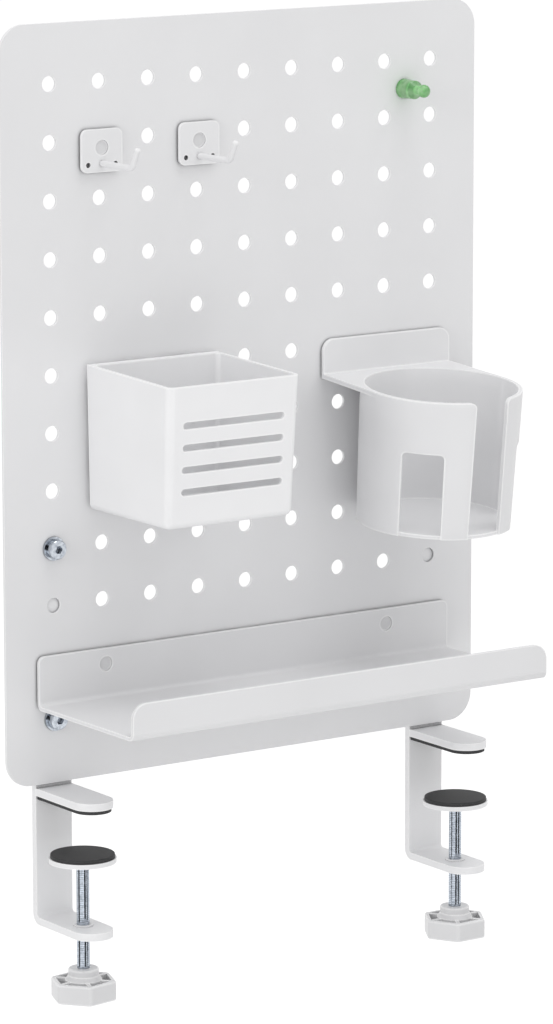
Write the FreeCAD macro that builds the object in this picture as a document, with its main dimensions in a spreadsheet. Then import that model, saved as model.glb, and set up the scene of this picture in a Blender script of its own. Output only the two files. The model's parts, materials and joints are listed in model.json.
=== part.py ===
import FreeCAD, Part
import math
import os
import Sketcher
from types import SimpleNamespace

# Clamp-on pegboard desk organizer: a perforated steel board held to the edge of a desk by two
# screw clamps, with a tool shelf, a pen bin, a cup holder, two wire hooks and a magnetic pin.
#
# Millimetres. +Z is up, +X is to the right and the board faces -Y. The origin lies on the desk
# edge, midway between the clamps: Z = 0 is the desk top under the jaw pads, and Y = 0 is the face
# of the clamp plates that the desk edge meets, which is also the back of the board.

# ---------------------------------------------------------------------------------------------
# Driving dimensions
# ---------------------------------------------------------------------------------------------

SIZES = {
    # perforated board
    "panel_width": 299,
    "panel_height": 395,
    "panel_thick": 1.5,
    "panel_corner": 14.5,
    "panel_rise": 8,
    "hole_dia": 8,
    "hole_pitch": 30,
    "hole_columns": 9,
    "hole_bottom_margin": 34,
    "hole_edge_least": 25,
    # clamp steelwork
    "clamp_width": 22,
    "clamp_thick": 4,
    "clamp_bend": 2,
    "clamp_top_margin": 13,
    "clamp_corner": 3,
    "throat": 63,
    "tongue_length": 47,
    "jaw_length": 48,
    "pad_thick": 2,
    "pad_inset": 1,
    # clamp screw, bush, foot and knob
    "screw_reach": 27.5,
    "screw_dia": 6.8,
    "screw_drop": 61.1,
    "screw_grip": 12,
    "neck_dia": 5,
    "rivet_dia": 8,
    "rivet_thick": 1.2,
    "rivet_sink": 0.3,
    "rivet_clear": 0.4,
    "turn_gap": 0.06,
    "lift_gap": 0.1,
    "bush_dia": 8.8,
    "bush_flange_dia": 10.4,
    "bush_flange_thick": 0.8,
    "foot_dia": 35.2,
    "foot_thick": 2.4,
    "foot_boss_dia": 11,
    "foot_boss_drop": 2,
    "foot_pad_dia": 33.6,
    "foot_pad_thick": 2,
    "foot_pad_round": 0.4,
    "left_opening": 24.5,
    "right_opening": 27.5,
    "left_knob_angle": 9.9,
    "right_knob_angle": 0.3,
    "knob_radius": 18,
    "knob_height": 10.4,
    "knob_corner": 2.5,
    "knob_wall": 2,
    "knob_rib": 2,
    "knob_floor": 2.4,
    "knob_edge": 0.8,
    "hub_dia": 16,
    "hub_rise": 6.1,
    "hub_flare_dia": 19.4,
    "hub_flare_rise": 2.4,
    # fasteners that hold the board to the clamps
    "bolt_dia": 6,
    "bolt_length": 16,
    "bolt_head_dia": 10,
    "bolt_head_high": 4,
    "bolt_hex": 4,
    "bolt_hex_deep": 2.6,
    "bolt_hole_dia": 6.6,
    "bolt_edge": 0.4,
    "washer_dia": 12.4,
    "washer_thick": 1.5,
    "washer_hole_dia": 6.4,
    "nut_across": 10,
    "nut_thick": 5,
    "seat_gap": 0.02,
    # push-in plugs that carry what hangs on the board
    "plug_dia": 7.6,
    "plug_past": 1.8,
    "plug_collar_dia": 12,
    "plug_edge": 0.7,
    "drop": 4,
    # tool shelf
    "shelf_width": 262,
    "shelf_sheet": 2,
    "shelf_bend": 2,
    "shelf_gap": 1,
    "shelf_depth": 91,
    "shelf_back_rise": 4.3,
    "shelf_over_bolts": 6.2,
    "shelf_lip_high": 19.3,
    "shelf_lip_corner": 8.5,
    "shelf_back_corner": 3.7,
    "boss_recess": 0.9,
    # pen bin
    "bin_width": 80.6,
    "bin_depth": 77,
    "bin_height": 76.2,
    "bin_rise": 4.6,
    "bin_gap": 3,
    "bin_side_draft": 1.3,
    "bin_front_lean": 5,
    "bin_rim_drop": 2.6,
    "bin_wall": 1.8,
    "bin_back_wall": 4.6,
    "bin_corner": 4,
    "bin_base_round": 3.4,
    "bin_socket_deep": 2.4,
    "slot_length": 62,
    "slot_high": 3.7,
    "slot_pitch": 11.5,
    "slot_first": 18.9,
    "slot_count": 4,
    # cup holder
    "cup_tilt": 4.7,
    "cup_shift": 2.2,
    "cup_radius": 43.1,
    "cup_base_radius": 41.6,
    "cup_height": 74,
    "cup_wall": 2.3,
    "cup_reach": 46.5,
    "cup_floor": 2,
    "cup_floor_recess": 1.2,
    "cup_gap": 1,
    "cup_plate_width": 82.8,
    "cup_plate_thick": 2,
    "cup_plate_high": 18.4,
    "cup_plate_corner": 6.5,
    "cup_plate_rise": 4.6,
    "cup_flange_thick": 2.6,
    "cup_bend": 3,
    "cup_slot_width": 21.4,
    "cup_slot_turn": 3.9,
    "cup_slot_corner": 3.2,
    "cup_window_width": 22.6,
    "cup_window_angle": 51.5,
    "cup_window_top": 28.2,
    "cup_window_corner": 2.6,
    # wire hooks
    "hook_plate_width": 24.8,
    "hook_plate_high": 22.3,
    "hook_plate_thick": 1.5,
    "hook_plate_corner": 3.6,
    "hook_plate_rise": 5.6,
    "hook_gap": 1.2,
    "hook_eye_dia": 8,
    "hook_pin_dia": 2.8,
    "hook_pin_spread": 8.3,
    "hook_pin_drop": 12.7,
    "hook_wire_dia": 3.2,
    "hook_wire_drop": 12.2,
    "hook_wire_run": 26,
    "hook_wire_bend": 4,
    "hook_wire_lean": 27,
    "hook_wire_tip": 9.6,
    "hook_wire_round": 1.28,
    # magnetic pin
    "pin_across": 102.8,
    "pin_down": 15.2,
    "pin_base_dia": 10.6,
    "pin_shoulder_dia": 9.8,
    "pin_shoulder": 10,
    "pin_neck_dia": 5.4,
    "pin_neck_start": 12,
    "pin_head_dia": 7,
    "pin_length": 21.4,
    "magnet_dia": 8,
    "magnet_thick": 2.5,
}

doc = FreeCAD.newDocument("pegboard_organizer")
sheet = doc.addObject("Spreadsheet::Sheet", "dims")
for row, (alias, number) in enumerate(SIZES.items(), start=1):
    sheet.set(f"A{row}", alias)
    sheet.set(f"B{row}", str(number))
    sheet.setAlias(f"B{row}", alias)
doc.recompute()


class Size:
    """A number together with the spreadsheet formula that gives it."""

    def __init__(self, number, formula):
        self.number = float(number)
        self.formula = formula

    def __add__(self, other):
        other = size_of(other)
        return Size(self.number + other.number, f"({self.formula} + {other.formula})")

    def __sub__(self, other):
        other = size_of(other)
        return Size(self.number - other.number, f"({self.formula} - {other.formula})")

    def __mul__(self, other):
        other = size_of(other)
        return Size(self.number * other.number, f"({self.formula} * {other.formula})")

    def __truediv__(self, other):
        other = size_of(other)
        return Size(self.number / other.number, f"({self.formula} / {other.formula})")

    def __radd__(self, other):
        return size_of(other) + self

    def __rsub__(self, other):
        return size_of(other) - self

    def __rmul__(self, other):
        return size_of(other) * self

    def __neg__(self):
        return self * -1


def size_of(value):
    """A Size as it is, or a plain number as a Size."""
    return value if isinstance(value, Size) else Size(value, f"({value})")


def sine(angle):
    """The sine of an angle in degrees."""
    return Size(math.sin(math.radians(angle.number)), f"sin({angle.formula} * 1 deg)")


def cosine(angle):
    """The cosine of an angle in degrees."""
    return Size(math.cos(math.radians(angle.number)), f"cos({angle.formula} * 1 deg)")


def whole(value):
    """The whole number at or below a value."""
    return Size(math.floor(value.number), f"floor({value.formula})")


def root(value):
    """The square root of a value."""
    return Size(math.sqrt(value.number), f"sqrt({value.formula})")


dims = SimpleNamespace(**{alias: Size(sheet.get(alias), f"dims.{alias}") for alias in SIZES})

# Places that several pieces share: rows count up from 1 at the foot of the board, and columns
# count from 0 at its middle
ROW_SPAN = dims.panel_height - dims.hole_bottom_margin - dims.hole_edge_least
TOP_ROW = whole(ROW_SPAN / dims.hole_pitch) + 1
CLAMP_COLUMN = (dims.hole_columns - 1) * dims.hole_pitch / 2
BOARD_FRONT = -dims.panel_thick
LOWER_BOLT_ROW = 1
UPPER_BOLT_ROW = 4
SHELF_ROW = 2
SHELF_COLUMN = 3
BIN_ROW = 7
BIN_COLUMN = -2
CUP_ROW = 7
CUP_COLUMN = 3
HOOK_ROW = TOP_ROW - 1
HOOK_COLUMNS = {"left": -3, "right": -1}
KNOB_SIDES = 6
ROOT_THREE = math.sqrt(3)
NEAR = 0.05
UPRIGHT = 0.9


def row_height(number):
    """Height of the centres of a row of holes."""
    return dims.panel_rise + dims.hole_bottom_margin + (number - 1) * dims.hole_pitch


def column_place(number):
    """Sideways place of a column of holes."""
    return number * dims.hole_pitch


# ---------------------------------------------------------------------------------------------
# Helpers for bodies and sketches
# ---------------------------------------------------------------------------------------------

sub_parts = []


def bind(thing, name, value):
    """Tie a property to its formula."""
    thing.setExpression(name, size_of(value).formula)


def place(thing, x=0, y=0, z=0, axis=(0, 0, 1), angle=0):
    """Put a sub-part at x, y, z, turned about axis, with each value tied to its formula."""
    spot = [size_of(x), size_of(y), size_of(z)]
    turn = FreeCAD.Rotation(FreeCAD.Vector(*axis), size_of(angle).number)
    thing.Placement = FreeCAD.Placement(FreeCAD.Vector(*[value.number for value in spot]), turn)
    for letter, value in zip("xyz", spot):
        bind(thing, f"Placement.Base.{letter}", value)
    if isinstance(angle, Size):
        bind(thing, "Placement.Rotation.Angle", angle)


def new_body(name, several=False):
    """A body that becomes one sub-part, of one solid or of several."""
    body = doc.addObject("PartDesign::Body", name)
    body.Label = name
    body.AllowCompound = several
    sub_parts.append(body)
    return body


def origin_part(body, role):
    """One of the body's own origin planes or axes."""
    return [part for part in body.Origin.OriginFeatures if part.Role == role][0]


def sideways(body):
    """The body's X axis, as a direction for a pattern."""
    return (origin_part(body, "X_Axis"), [""])


def upwards(body):
    """The body's Z axis, as a direction for a pattern."""
    return (origin_part(body, "Z_Axis"), [""])


def new_sketch(body, name, plane, offset=0):
    """A sketch on one of the body's origin planes, moved along its normal."""
    sketch = body.newObject("Sketcher::SketchObject", name)
    sketch.AttachmentSupport = [(origin_part(body, plane), "")]
    sketch.MapMode = "FlatFace"
    offset = size_of(offset)
    sketch.AttachmentOffset = FreeCAD.Placement(FreeCAD.Vector(0, 0, offset.number), FreeCAD.Rotation())
    bind(sketch, "AttachmentOffset.Base.z", offset)
    return sketch


def turned_sketch(body, name, angle):
    """A sketch that stands on the body's Z axis and faces the front, turned towards +X."""
    sketch = new_sketch(body, name, "XZ_Plane")
    upright = FreeCAD.Vector(0, 1, 0)
    sketch.AttachmentOffset = FreeCAD.Placement(FreeCAD.Vector(), FreeCAD.Rotation(upright, angle.number))
    bind(sketch, "AttachmentOffset.Rotation.Angle", angle)
    return sketch


def hold(sketch, kind, geometry, position, value):
    """Fix one coordinate of a point, measured from the sketch origin."""
    value = size_of(value)
    index = sketch.addConstraint(Sketcher.Constraint(kind, -1, 1, geometry, position, value.number))
    bind(sketch, f"Constraints[{index}]", value)


def flat(point):
    """A sketch point as a vector."""
    return FreeCAD.Vector(size_of(point[0]).number, size_of(point[1]).number, 0)


def arc_round(centre, start, end, turns_left):
    """The arc from start to end round centre, drawn the way that Sketcher wants it."""
    middle = flat(centre)
    first, last = (start, end) if turns_left else (end, start)
    spoke_in = flat(first) - middle
    spoke_out = flat(last) - middle
    circle = Part.Circle(middle, FreeCAD.Vector(0, 0, 1), spoke_in.Length)
    angle_in = math.atan2(spoke_in.y, spoke_in.x)
    angle_out = math.atan2(spoke_out.y, spoke_out.x)
    if angle_out <= angle_in:
        angle_out += 2 * math.pi
    return Part.ArcOfCircle(circle, angle_in, angle_out)


def draw_path(sketch, points, arcs=None, closed=False):
    """Draw lines through the points, with an arc on each side that arcs gives a centre for.

    A key of arcs is the number of the side. Its value is (centre, turns_left).
    """
    arcs = arcs or {}
    first = sketch.GeometryCount
    sides = len(points) if closed else len(points) - 1
    heads = []
    tails = []
    for side in range(sides):
        start = points[side]
        end = points[(side + 1) % len(points)]
        turns_left = arcs[side][1] if side in arcs else True
        if side in arcs:
            sketch.addGeometry(arc_round(arcs[side][0], start, end, turns_left))
        else:
            sketch.addGeometry(Part.LineSegment(flat(start), flat(end)))
        heads.append((first + side, 1 if turns_left else 2))
        tails.append((first + side, 2 if turns_left else 1))
    for side in range(sides):
        if closed or side:
            sketch.addConstraint(Sketcher.Constraint("Coincident", *tails[side - 1], *heads[side]))
        hold(sketch, "DistanceX", *heads[side], points[side][0])
        hold(sketch, "DistanceY", *heads[side], points[side][1])
    if not closed:
        hold(sketch, "DistanceX", *tails[-1], points[-1][0])
        hold(sketch, "DistanceY", *tails[-1], points[-1][1])
    for side, (centre, _) in arcs.items():
        across = flat(points[(side + 1) % len(points)]) - flat(points[side])
        if abs(across.x) >= abs(across.y):
            hold(sketch, "DistanceY", first + side, 3, centre[1])
        else:
            hold(sketch, "DistanceX", first + side, 3, centre[0])


def draw_outline(sketch, points, arcs=None):
    """Draw a closed outline, counter-clockwise."""
    draw_path(sketch, points, arcs, closed=True)


def draw_circle(sketch, x, y, diameter):
    """Draw a circle held by its centre and diameter."""
    diameter = size_of(diameter)
    circle = Part.Circle(flat((x, y)), FreeCAD.Vector(0, 0, 1), diameter.number / 2)
    number = sketch.addGeometry(circle)
    hold(sketch, "DistanceX", number, 3, x)
    hold(sketch, "DistanceY", number, 3, y)
    index = sketch.addConstraint(Sketcher.Constraint("Diameter", number, diameter.number))
    bind(sketch, f"Constraints[{index}]", diameter)


def draw_rounded(sketch, left, right, bottom, top, radius):
    """Draw a rectangle with four equal round corners."""
    points = [
        (left + radius, bottom),
        (right - radius, bottom),
        (right, bottom + radius),
        (right, top - radius),
        (right - radius, top),
        (left + radius, top),
        (left, top - radius),
        (left, bottom + radius),
    ]
    arcs = {
        1: ((right - radius, bottom + radius), True),
        3: ((right - radius, top - radius), True),
        5: ((left + radius, top - radius), True),
        7: ((left + radius, bottom + radius), True),
    }
    draw_outline(sketch, points, arcs)


def feature(body, kind, name, **settings):
    """Add a PartDesign feature: Sizes are bound, everything else is set."""
    item = body.newObject(f"PartDesign::{kind}", name)
    for key, value in settings.items():
        if isinstance(value, Size):
            setattr(item, key, value.number)
            bind(item, key, value)
        else:
            setattr(item, key, value)
    body.Tip = item
    return item


def pad(body, name, sketch, length, **settings):
    """Raise a sketch along its normal."""
    return feature(body, "Pad", name, Profile=sketch, Length=length, **settings)


def cut_through(body, name, sketch):
    """Cut a sketch right through the body, both ways."""
    return feature(body, "Pocket", name, Profile=sketch, Type="ThroughAll", SideType="Symmetric")


def revolve(body, name, sketch, kind="Revolution"):
    """Turn a sketch about its own vertical axis."""
    return feature(body, kind, name, Profile=sketch, ReferenceAxis=(sketch, ["V_Axis"]), Angle=360.0)


def line_pattern(body, name, axis, spacing, count):
    """A straight pattern along an axis with an even spacing."""
    item = body.newObject("PartDesign::LinearPattern", name)
    item.Direction = axis
    item.Mode = "Spacing"
    item.Offset = spacing.number
    bind(item, "Offset", spacing)
    item.Occurrences = int(size_of(count).number)
    if isinstance(count, Size):
        bind(item, "Occurrences", count)
    return item


def repeat(body, name, originals, axis, spacing, count):
    """Repeat features in a row."""
    item = line_pattern(body, name, axis, spacing, count)
    item.Originals = originals
    body.Tip = item


def grid(body, name, originals, first, second):
    """Repeat features along two directions: each is (axis, spacing, count)."""
    item = body.newObject("PartDesign::MultiTransform", name)
    item.Originals = originals
    steps = [line_pattern(body, f"{name}_{number}", *way) for number, way in enumerate((first, second))]
    item.Transformations = steps
    body.Tip = item


def edges_where(item, test):
    """Names of the edges of a feature whose middle passes a test."""
    doc.recompute()
    found = []
    for number, edge in enumerate(item.Shape.Edges, start=1):
        middle = edge.valueAt((edge.FirstParameter + edge.LastParameter) / 2)
        if test(middle, edge):
            found.append(f"Edge{number}")
    return found


def faces_where(item, test):
    """Names of the faces of a feature whose centre passes a test."""
    doc.recompute()
    found = []
    for number, face in enumerate(item.Shape.Faces, start=1):
        if test(face.CenterOfMass, face):
            found.append(f"Face{number}")
    return found


def fillet(body, name, item, radius, test):
    """Round the edges of a feature that pass a test."""
    return feature(body, "Fillet", name, Base=(item, edges_where(item, test)), Radius=radius)


def chamfer(body, name, item, amount, test):
    """Bevel the edges of a feature that pass a test."""
    return feature(body, "Chamfer", name, Base=(item, edges_where(item, test)), Size=amount)


def is_near(value, target):
    """Whether two lengths agree closely enough to name an edge."""
    return abs(value - size_of(target).number) < NEAR


def runs_along(edge, letter):
    """Whether an edge is straight and parallel to one axis."""
    if edge.Curve.TypeId != "Part::GeomLine":
        return False
    return abs(getattr(edge.Curve.Direction, letter)) > 1 - NEAR


def is_upright(edge):
    """Whether an edge is straight and close to vertical."""
    return edge.Curve.TypeId == "Part::GeomLine" and abs(edge.Curve.Direction.z) > UPRIGHT


# ---------------------------------------------------------------------------------------------
# Board
# ---------------------------------------------------------------------------------------------


def make_panel():
    """The board: one sheet with round corners and a full grid of holes."""
    body = new_body("peg_panel")
    half = dims.panel_width / 2
    outline = new_sketch(body, "panel_outline", "XZ_Plane")
    top = dims.panel_rise + dims.panel_height
    draw_rounded(outline, -half, half, dims.panel_rise, top, dims.panel_corner)
    pad(body, "panel_sheet", outline, dims.panel_thick)
    hole = new_sketch(body, "first_hole", "XZ_Plane")
    draw_circle(hole, -CLAMP_COLUMN, row_height(LOWER_BOLT_ROW), dims.hole_dia)
    first_hole = cut_through(body, "hole_cut", hole)
    across = (sideways(body), dims.hole_pitch, dims.hole_columns)
    up = (upwards(body), dims.hole_pitch, TOP_ROW)
    grid(body, "hole_grid", [first_hole], across, up)


# ---------------------------------------------------------------------------------------------
# Clamps
# ---------------------------------------------------------------------------------------------


def draw_tongue(sketch, width, length):
    """Plan of a tongue from Y = 0 forwards, with a full round end."""
    half = width / 2
    straight = length - half
    points = [(-half, -straight), (half, -straight), (half, 0), (-half, 0)]
    draw_outline(sketch, points, {0: ((0, -straight), True)})


def make_bracket(side, x):
    """The clamp plate behind the board, bent forwards at its foot into the lower tongue."""
    body = new_body(f"{side}_clamp_bracket")
    thick = dims.clamp_thick
    bend = dims.clamp_bend
    top = row_height(UPPER_BOLT_ROW) + dims.clamp_top_margin
    floor = -dims.throat
    stub = bend + thick
    profile = new_sketch(body, f"{side}_bracket_profile", "YZ_Plane")
    points = [
        (0, top),
        (0, floor + bend),
        (-bend, floor),
        (-stub, floor),
        (-stub, floor - thick),
        (-bend, floor - thick),
        (thick, floor + bend),
        (thick, top),
    ]
    centre = (-bend, floor + bend)
    draw_outline(profile, points, {1: (centre, False), 5: (centre, True)})
    strip = pad(body, f"{side}_bracket_strip", profile, dims.clamp_width, SideType="Symmetric")
    half = dims.clamp_width / 2
    fillet(
        body,
        f"{side}_bracket_top_corners",
        strip,
        dims.clamp_corner,
        lambda spot, edge: runs_along(edge, "y") and is_near(spot.z, top),
    )
    plan = new_sketch(body, f"{side}_tongue_plan", "XY_Plane", floor)
    straight = dims.tongue_length - half
    corners = [(-half, -straight), (half, -straight), (half, -bend), (-half, -bend)]
    draw_outline(plan, corners, {0: ((0, -straight), True)})
    pad(body, f"{side}_tongue", plan, thick, Reversed=True)
    bush_hole = new_sketch(body, f"{side}_bush_hole", "XY_Plane", floor)
    draw_circle(bush_hole, 0, -dims.screw_reach, dims.bush_dia + 2 * dims.seat_gap)
    cut_through(body, f"{side}_bush_cut", bush_hole)
    bolt_holes = new_sketch(body, f"{side}_bolt_holes", "XZ_Plane")
    for row in (UPPER_BOLT_ROW, LOWER_BOLT_ROW):
        draw_circle(bolt_holes, 0, row_height(row), dims.bolt_hole_dia)
    cut_through(body, f"{side}_bolt_cut", bolt_holes)
    place(body, x)


def make_jaw(side, x):
    """The upper tongue that lies on the desk, and the pad under it."""
    jaw = new_body(f"{side}_upper_jaw")
    plan = new_sketch(jaw, f"{side}_jaw_plan", "XY_Plane", dims.pad_thick)
    draw_tongue(plan, dims.clamp_width, dims.jaw_length)
    pad(jaw, f"{side}_jaw_plate", plan, dims.clamp_thick)
    place(jaw, x)
    cushion = new_body(f"{side}_jaw_pad")
    plan = new_sketch(cushion, f"{side}_pad_plan", "XY_Plane")
    draw_tongue(plan, dims.clamp_width - 2 * dims.pad_inset, dims.jaw_length - dims.pad_inset)
    pad(cushion, f"{side}_pad_sheet", plan, dims.pad_thick)
    place(cushion, x)


def make_bush(side, x):
    """The threaded bush that is pressed into the lower tongue from above."""
    body = new_body(f"{side}_thread_bush")
    bore = dims.screw_dia / 2 + dims.turn_gap
    barrel = dims.bush_dia / 2
    flange = dims.bush_flange_dia / 2
    seat = -dims.throat
    profile = new_sketch(body, f"{side}_bush_profile", "XZ_Plane")
    points = [
        (bore, seat - dims.clamp_thick),
        (barrel, seat - dims.clamp_thick),
        (barrel, seat),
        (flange, seat),
        (flange, seat + dims.bush_flange_thick),
        (bore, seat + dims.bush_flange_thick),
    ]
    draw_outline(profile, points)
    revolve(body, f"{side}_bush_turned", profile)
    place(body, x, -dims.screw_reach)


def make_foot(side, x, opening):
    """The foot that presses on the underside of the desk: a steel disc and its rubber pad.

    Both are drawn down from the top of the pad, which is Z = 0 in their own frame.
    """
    disc = new_body(f"{side}_foot_disc")
    top = -dims.foot_pad_thick
    under = top - dims.foot_thick
    bore = dims.neck_dia / 2 + dims.turn_gap
    recess = dims.rivet_dia / 2 + dims.rivet_clear
    recess_floor = top - dims.rivet_sink - dims.rivet_thick - dims.lift_gap
    profile = new_sketch(disc, f"{side}_disc_profile", "XZ_Plane")
    points = [
        (bore, under - dims.foot_boss_drop),
        (dims.foot_boss_dia / 2, under - dims.foot_boss_drop),
        (dims.foot_boss_dia / 2, under),
        (dims.foot_dia / 2, under),
        (dims.foot_dia / 2, top),
        (recess, top),
        (recess, recess_floor),
        (bore, recess_floor),
    ]
    draw_outline(profile, points)
    revolve(disc, f"{side}_disc_turned", profile)
    place(disc, x, -dims.screw_reach, -opening)
    cushion = new_body(f"{side}_foot_pad")
    radius = dims.foot_pad_dia / 2
    soft = dims.foot_pad_round
    profile = new_sketch(cushion, f"{side}_foot_pad_profile", "XZ_Plane")
    points = [(0, top), (radius, top), (radius, -soft), (radius - soft, 0), (0, 0)]
    draw_outline(profile, points, {2: ((radius - soft, -soft), True)})
    revolve(cushion, f"{side}_foot_pad_turned", profile)
    place(cushion, x, -dims.screw_reach, -opening)


def make_screw(side, x, opening):
    """The clamp screw: a rod whose neck turns in the foot and ends in a riveted head."""
    body = new_body(f"{side}_clamp_screw")
    rod = dims.screw_dia / 2
    neck = dims.neck_dia / 2
    head = dims.rivet_dia / 2
    shoulder = -dims.foot_pad_thick - dims.foot_thick - dims.foot_boss_drop - dims.lift_gap
    head_top = -dims.foot_pad_thick - dims.rivet_sink
    head_under = head_top - dims.rivet_thick
    foot = -dims.screw_drop - dims.screw_grip
    profile = new_sketch(body, f"{side}_screw_profile", "XZ_Plane")
    points = [
        (0, foot),
        (rod, foot),
        (rod, shoulder),
        (neck, shoulder),
        (neck, head_under),
        (head, head_under),
        (head, head_top),
        (0, head_top),
    ]
    draw_outline(profile, points)
    revolve(body, f"{side}_screw_turned", profile)
    place(body, x, -dims.screw_reach, -opening)


def make_knob(side, x, opening, angle):
    """The hexagonal knob: a ribbed cup open at the top round a hub that grips the screw."""
    body = new_body(f"{side}_clamp_knob")
    radius = dims.knob_radius
    top = -dims.screw_drop - dims.hub_rise
    floor = top - dims.knob_height
    plan = new_sketch(body, f"{side}_knob_plan", "XY_Plane", floor)
    half_side = radius / 2
    flat_place = radius * ROOT_THREE / 2
    corners = [
        (radius, 0),
        (half_side, flat_place),
        (-half_side, flat_place),
        (-radius, 0),
        (-half_side, -flat_place),
        (half_side, -flat_place),
    ]
    draw_outline(plan, corners)
    block = pad(body, f"{side}_knob_block", plan, dims.knob_height)
    softened = fillet(
        body, f"{side}_knob_corners", block, dims.knob_corner, lambda spot, edge: runs_along(edge, "z")
    )
    softened = fillet(
        body,
        f"{side}_knob_rims",
        softened,
        dims.knob_edge,
        lambda spot, edge: is_near(spot.z, floor) or is_near(spot.z, top),
    )
    # one pocket lies between two ribs that run from the hub to the corners
    apex = dims.knob_rib
    wall = flat_place - dims.knob_wall
    reach = (wall - apex) / ROOT_THREE
    pocket_plan = new_sketch(body, f"{side}_pocket_plan", "XY_Plane", top)
    draw_outline(pocket_plan, [(0, apex), (reach, wall), (-reach, wall)])
    deep = dims.knob_height - dims.knob_floor
    pocket = feature(body, "Pocket", f"{side}_pocket", Profile=pocket_plan, Length=deep)
    ring = body.newObject("PartDesign::PolarPattern", f"{side}_pockets")
    ring.Originals = [pocket]
    ring.Axis = (origin_part(body, "Z_Axis"), [""])
    ring.Angle = 360
    ring.Occurrences = KNOB_SIDES
    body.Tip = ring
    # hub with a flare where it meets the ribs
    hub = dims.hub_dia / 2
    flare = dims.hub_flare_dia / 2
    hub_profile = new_sketch(body, f"{side}_hub_profile", "XZ_Plane")
    points = [
        (0, floor + dims.knob_floor / 2),
        (flare, floor + dims.knob_floor / 2),
        (flare, top),
        (hub, top + dims.hub_flare_rise),
        (hub, -dims.screw_drop),
        (0, -dims.screw_drop),
    ]
    draw_outline(hub_profile, points)
    turned = revolve(body, f"{side}_hub", hub_profile)
    softened = fillet(
        body,
        f"{side}_hub_rim",
        turned,
        dims.knob_edge,
        lambda spot, edge: is_near(spot.z, -dims.screw_drop),
    )
    bore = new_sketch(body, f"{side}_knob_bore", "XY_Plane", -dims.screw_drop)
    draw_circle(bore, 0, 0, dims.screw_dia + 2 * dims.seat_gap)
    feature(body, "Pocket", f"{side}_screw_hole", Profile=bore, Length=dims.screw_grip)
    place(body, x, -dims.screw_reach, -opening, angle=angle)


# ---------------------------------------------------------------------------------------------
# Fasteners: four of each, one at each end of both clamp plates
# ---------------------------------------------------------------------------------------------


def repeat_at_bolts(body, name, originals):
    """Repeat what is drawn at the lower left bolt at the other three."""
    across = (sideways(body), 2 * CLAMP_COLUMN, 2)
    up = (upwards(body), (UPPER_BOLT_ROW - LOWER_BOLT_ROW) * dims.hole_pitch, 2)
    grid(body, name, originals, across, up)


def make_bolts():
    """Low socket-head bolts, drawn along Y from the washer face."""
    body = new_body("panel_bolts", several=True)
    shank = dims.bolt_dia / 2
    head = dims.bolt_head_dia / 2
    edge = dims.bolt_edge
    high = dims.bolt_head_high
    profile = new_sketch(body, "bolt_profile", "XY_Plane")
    points = [
        (0, -high),
        (head - edge, -high),
        (head, edge - high),
        (head, 0),
        (shank, 0),
        (shank, dims.bolt_length - edge),
        (shank - edge, dims.bolt_length),
        (0, dims.bolt_length),
    ]
    draw_outline(profile, points)
    turned = revolve(body, "bolt_turned", profile)
    corner = dims.bolt_hex / ROOT_THREE
    half = dims.bolt_hex / 2
    hexagon = [(corner, 0), (corner / 2, half), (-corner / 2, half)]
    hexagon += [(-corner, 0), (-corner / 2, -half), (corner / 2, -half)]
    socket_plan = new_sketch(body, "socket_plan", "XZ_Plane", high)
    draw_outline(socket_plan, hexagon)
    socket = feature(body, "Pocket", "socket", Profile=socket_plan, Length=dims.bolt_hex_deep)
    repeat_at_bolts(body, "bolt_set", [turned, socket])
    place(body, -CLAMP_COLUMN, BOARD_FRONT - dims.washer_thick, row_height(LOWER_BOLT_ROW))


def make_washers():
    """Plain washers between the bolt heads and the board."""
    body = new_body("panel_washers", several=True)
    ring_plan = new_sketch(body, "washer_plan", "XZ_Plane")
    draw_circle(ring_plan, 0, 0, dims.washer_dia)
    draw_circle(ring_plan, 0, 0, dims.washer_hole_dia)
    ring = pad(body, "washer", ring_plan, dims.washer_thick)
    repeat_at_bolts(body, "washer_set", [ring])
    place(body, -CLAMP_COLUMN, BOARD_FRONT, row_height(LOWER_BOLT_ROW))


def make_nuts():
    """Hexagon nuts behind the clamp plates."""
    body = new_body("panel_nuts", several=True)
    half = dims.nut_across / 2
    corner = dims.nut_across / ROOT_THREE
    hexagon = [(corner, 0), (corner / 2, half), (-corner / 2, half)]
    hexagon += [(-corner, 0), (-corner / 2, -half), (corner / 2, -half)]
    nut_plan = new_sketch(body, "nut_plan", "XZ_Plane")
    draw_outline(nut_plan, hexagon)
    draw_circle(nut_plan, 0, 0, dims.bolt_dia + 2 * dims.seat_gap)
    nut = pad(body, "nut", nut_plan, dims.nut_thick, Reversed=True)
    repeat_at_bolts(body, "nut_set", [nut])
    place(body, -CLAMP_COLUMN, dims.clamp_thick, row_height(LOWER_BOLT_ROW))


# ---------------------------------------------------------------------------------------------
# Push-in plugs
# ---------------------------------------------------------------------------------------------


def draw_plug(body, name, collar, boss_dia=None, boss_length=None, boss_drop=0):
    """A spigot that fills a hole of the board and a collar that stands the piece off from it.

    Y = 0 is the front of the board. A boss in front of the collar fits a hole of the piece.
    """
    collar_plan = new_sketch(body, f"{name}_collar_plan", "XZ_Plane")
    draw_circle(collar_plan, 0, -boss_drop / 2, dims.plug_collar_dia)
    features = [pad(body, f"{name}_collar", collar_plan, collar)]
    spigot_plan = new_sketch(body, f"{name}_spigot_plan", "XZ_Plane")
    draw_circle(spigot_plan, 0, 0, dims.plug_dia)
    past = dims.panel_thick + dims.plug_past
    features.append(pad(body, f"{name}_spigot", spigot_plan, past, Reversed=True))
    if boss_dia is not None:
        boss_plan = new_sketch(body, f"{name}_boss_plan", "XZ_Plane", collar)
        draw_circle(boss_plan, 0, -boss_drop, boss_dia)
        features.append(pad(body, f"{name}_boss", boss_plan, boss_length))
    return features


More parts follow.
